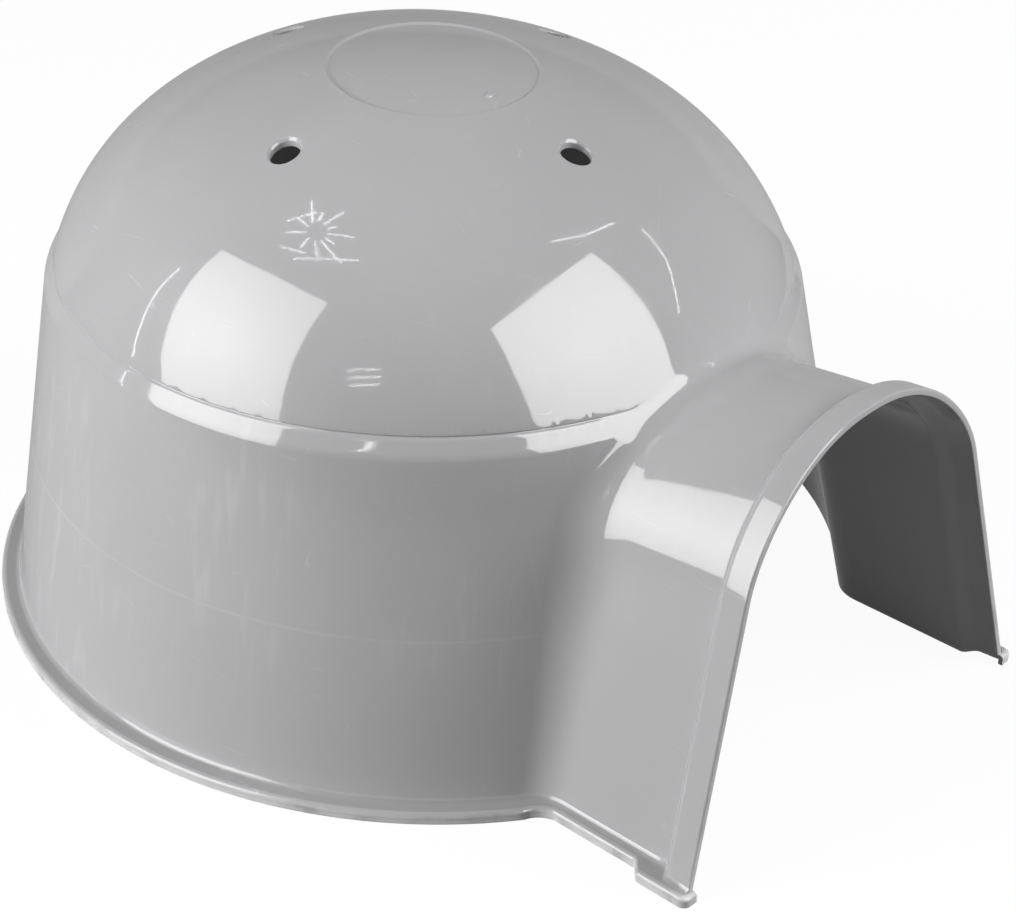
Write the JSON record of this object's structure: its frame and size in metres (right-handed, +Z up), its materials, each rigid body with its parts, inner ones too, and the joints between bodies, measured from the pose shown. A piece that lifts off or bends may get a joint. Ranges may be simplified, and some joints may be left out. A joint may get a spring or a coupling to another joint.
{
  "type": "rodent igloo",
  "caption": "Thin plastic hut for small pets: a domed roof over a tapered oval wall, an arched entrance tunnel with a stepped lip, air vents, and a flange to stand on.",
  "frame": {"origin": "middle of the footprint, on the floor", "axes": "+Z up, -Y out of the entrance tunnel, +X across the tunnel"},
  "size_m": [0.2384, 0.2792, 0.1543],
  "materials": {
    "shell": "gloss grey moulding"
  },
  "bodies": {
    "root": {"dome_cap": "shell", "crown_disc": "shell", "shoulder_band": "shell", "side_wall": "shell", "tunnel_blend": "shell", "entrance_tunnel": "shell", "entrance_lip": "shell", "base_flange": "shell", "rim_skirt": "shell"}
  },
  "joints": []
}
